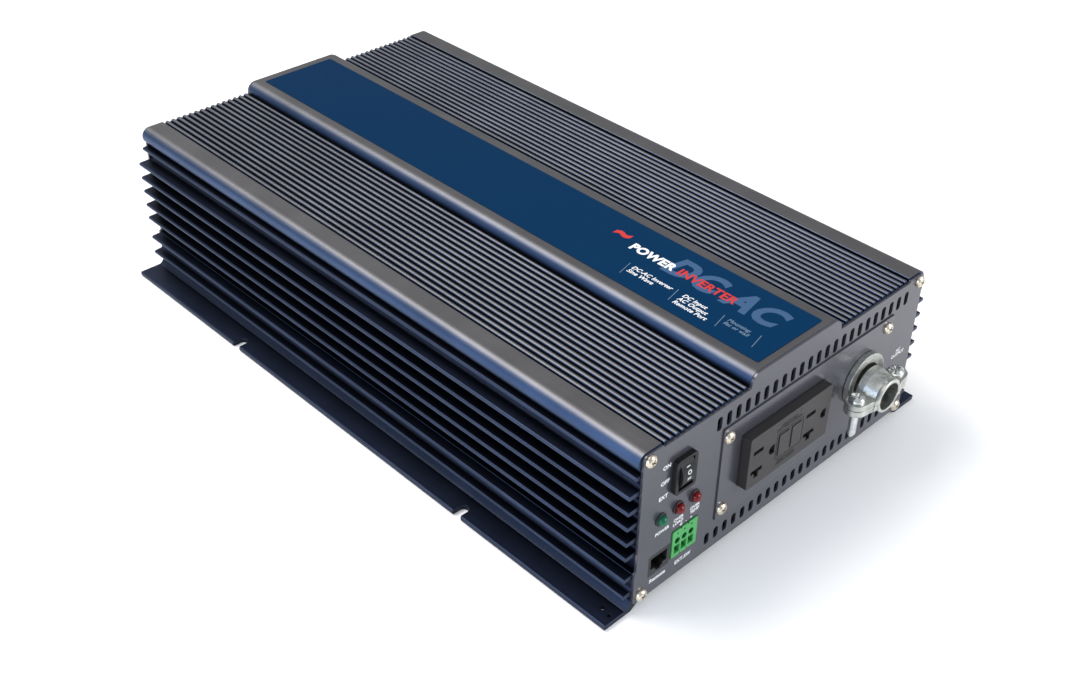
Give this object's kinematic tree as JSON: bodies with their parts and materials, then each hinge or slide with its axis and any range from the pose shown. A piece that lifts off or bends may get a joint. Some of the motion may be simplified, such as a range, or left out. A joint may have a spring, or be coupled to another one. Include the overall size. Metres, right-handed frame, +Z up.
{
  "type": "power inverter",
  "caption": "Low finned aluminium case with side mounting flanges that turns battery DC into mains AC, with an outlet, rocker switch, lamps, terminals and a cable clamp on its end panel.",
  "frame": {"origin": "on the mounting plane (underside of the flanges), in the middle of the footprint", "axes": "+Z up, -Y out of the control panel, +Y to the fans and DC terminals, +X to the right when facing the control panel"},
  "size_m": [0.2628, 0.4628, 0.1063],
  "materials": {
    "case_metal": "anodised satin, dark blue grey",
    "face_label": "printed film, semi-matt",
    "panel_metal": "satin grey paint on steel sheet",
    "plate_metal": "satin grey paint on steel sheet",
    "screw_nickel": "nickel plated",
    "screw_zinc": "zinc plated",
    "outlet_plastic": "dark grey nylon, soft gloss",
    "button_plastic": "dark grey nylon, soft gloss",
    "lamp_clear": "clear lens",
    "switch_plastic": "black nylon",
    "collar_plastic": "black nylon",
    "lens_green": "tinted epoxy lens",
    "lens_red": "tinted epoxy lens",
    "terminal_green": "green polyamide",
    "jack_plastic": "dark grey polyamide",
    "contact_gold": "gold flashed",
    "contact_brass": "plain",
    "strap_steel": "zinc plated",
    "connector_zinc": "die-cast zinc",
    "board_green": "solder mask on glass-epoxy",
    "ferrite": "sintered ferrite",
    "copper_wire": "enamelled copper",
    "capacitor_sleeve": "shrink sleeve",
    "inductor_iron": "epoxy coated iron powder",
    "transistor_black": "moulded epoxy",
    "bare_aluminium": "mill finish",
    "fuse_plastic": "translucent polycarbonate",
    "fan_plastic": "black glass-filled nylon",
    "guard_wire": "nickel plated wire",
    "red_insulator": "moulded phenolic",
    "black_insulator": "moulded phenolic",
    "stud_brass": "nickel flashed brass",
    "nut_steel": "zinc plated",
    "bus_copper": "bare copper",
    "box_steel": "galvanised",
    "wire_insulation": "PVC"
  },
  "bodies": {
    "case": {"base_extrusion": "case_metal", "top_cover": "case_metal", "name_label": "face_label", "front_panel": "panel_metal", "rear_panel": "panel_metal", "front_panel_screws": "screw_nickel", "rear_panel_screws": "screw_nickel", "ac_cover_plate": "plate_metal", "ac_plate_screws": "screw_nickel", "receptacle_body": "outlet_plastic", "receptacle_strap": "strap_steel", "receptacle_contacts": "contact_brass", "receptacle_lamp": "lamp_clear", "switch_housing": "switch_plastic", "lamp_collars": "collar_plastic", "power_lamp": "lens_green", "fault_lamps": "lens_red", "terminal_header": "terminal_green", "header_pins": "contact_brass", "remote_jack": "jack_plastic", "jack_contacts": "contact_gold", "clamp_body": "connector_zinc", "clamp_locknut": "connector_zinc", "main_board": "board_green", "board_standoffs": "stud_brass", "board_screws": "screw_nickel", "control_board": "board_green", "transformer_cores": "ferrite", "transformer_windings": "copper_wire", "bulk_capacitors": "capacitor_sleeve", "input_capacitors": "capacitor_sleeve", "inductor_core": "inductor_iron", "inductor_winding": "copper_wire", "power_transistors": "transistor_black", "spreader_bars": "bare_aluminium", "clamp_strips": "strap_steel", "clamp_strip_screws": "screw_zinc", "blade_fuses": "fuse_plastic", "fan_frame_left": "fan_plastic", "fan_frame_right": "fan_plastic", "fan_guards": "guard_wire", "fan_screws": "screw_nickel", "positive_insulator": "red_insulator", "negative_insulator": "black_insulator", "dc_studs": "stud_brass", "dc_nuts": "nut_steel", "busbars": "bus_copper", "wiring_box": "box_steel", "ac_wires": "wire_insulation", "ground_stud": "nut_steel"},
    "rocker": {"switch_rocker": "switch_plastic"},
    "test_key": {"test_button": "button_plastic"},
    "reset_key": {"reset_button": "button_plastic"},
    "rotor_left": {"fan_rotor_left": "fan_plastic"},
    "rotor_right": {"fan_rotor_right": "fan_plastic"},
    "plug": {"terminal_plug": "terminal_green", "terminal_screws": "screw_zinc"},
    "strap": {"clamp_strap": "connector_zinc"},
    "screw_left": {"clamp_screw_left": "screw_zinc"},
    "screw_right": {"clamp_screw_right": "screw_zinc"}
  },
  "joints": [
    {"name": "power_switch_rock", "type": "hinge", "parent": "case", "child": "rocker", "pos_m": [-0.084, -0.21, 0.0752], "axis": [1, 0, 0], "range_deg": [-12, 12]},
    {"name": "test_button_press", "type": "slide", "parent": "case", "child": "test_key", "axis": [0, 1, 0], "range_m": [0, 0.0009], "stiffness_N_per_m": 400},
    {"name": "reset_button_press", "type": "slide", "parent": "case", "child": "reset_key", "axis": [0, 1, 0], "range_m": [0, 0.0009], "stiffness_N_per_m": 400},
    {"name": "left_fan_spin", "type": "hinge", "parent": "case", "child": "rotor_left", "pos_m": [-0.035, 0.2, 0.052], "axis": [0, 1, 0], "continuous": true},
    {"name": "right_fan_spin", "type": "hinge", "parent": "case", "child": "rotor_right", "pos_m": [0.035, 0.2, 0.052], "axis": [0, 1, 0], "continuous": true},
    {"name": "terminal_plug_pull", "type": "slide", "parent": "case", "child": "plug", "axis": [0, -1, 0], "range_m": [0, 0.02]},
    {"name": "cable_strap_lift", "type": "slide", "parent": "case", "child": "strap", "axis": [0, 0, 1], "range_m": [0, 0.006]},
    {"name": "left_strap_screw_turn", "type": "hinge", "parent": "strap", "child": "screw_left", "pos_m": [0.045, -0.2228, 0.0538], "axis": [0, 0, 1], "range_deg": [0, 2160]},
    {"name": "right_strap_screw_turn", "type": "hinge", "parent": "strap", "child": "screw_right", "pos_m": [0.081, -0.2228, 0.0538], "axis": [0, 0, 1], "range_deg": [0, 2160]}
  ],
  "couplings": [
    {"joint": "left_strap_screw_turn", "follows": "cable_strap_lift", "rad_per_m": 5936.9},
    {"joint": "right_strap_screw_turn", "follows": "cable_strap_lift", "rad_per_m": 5936.9}
  ]
}
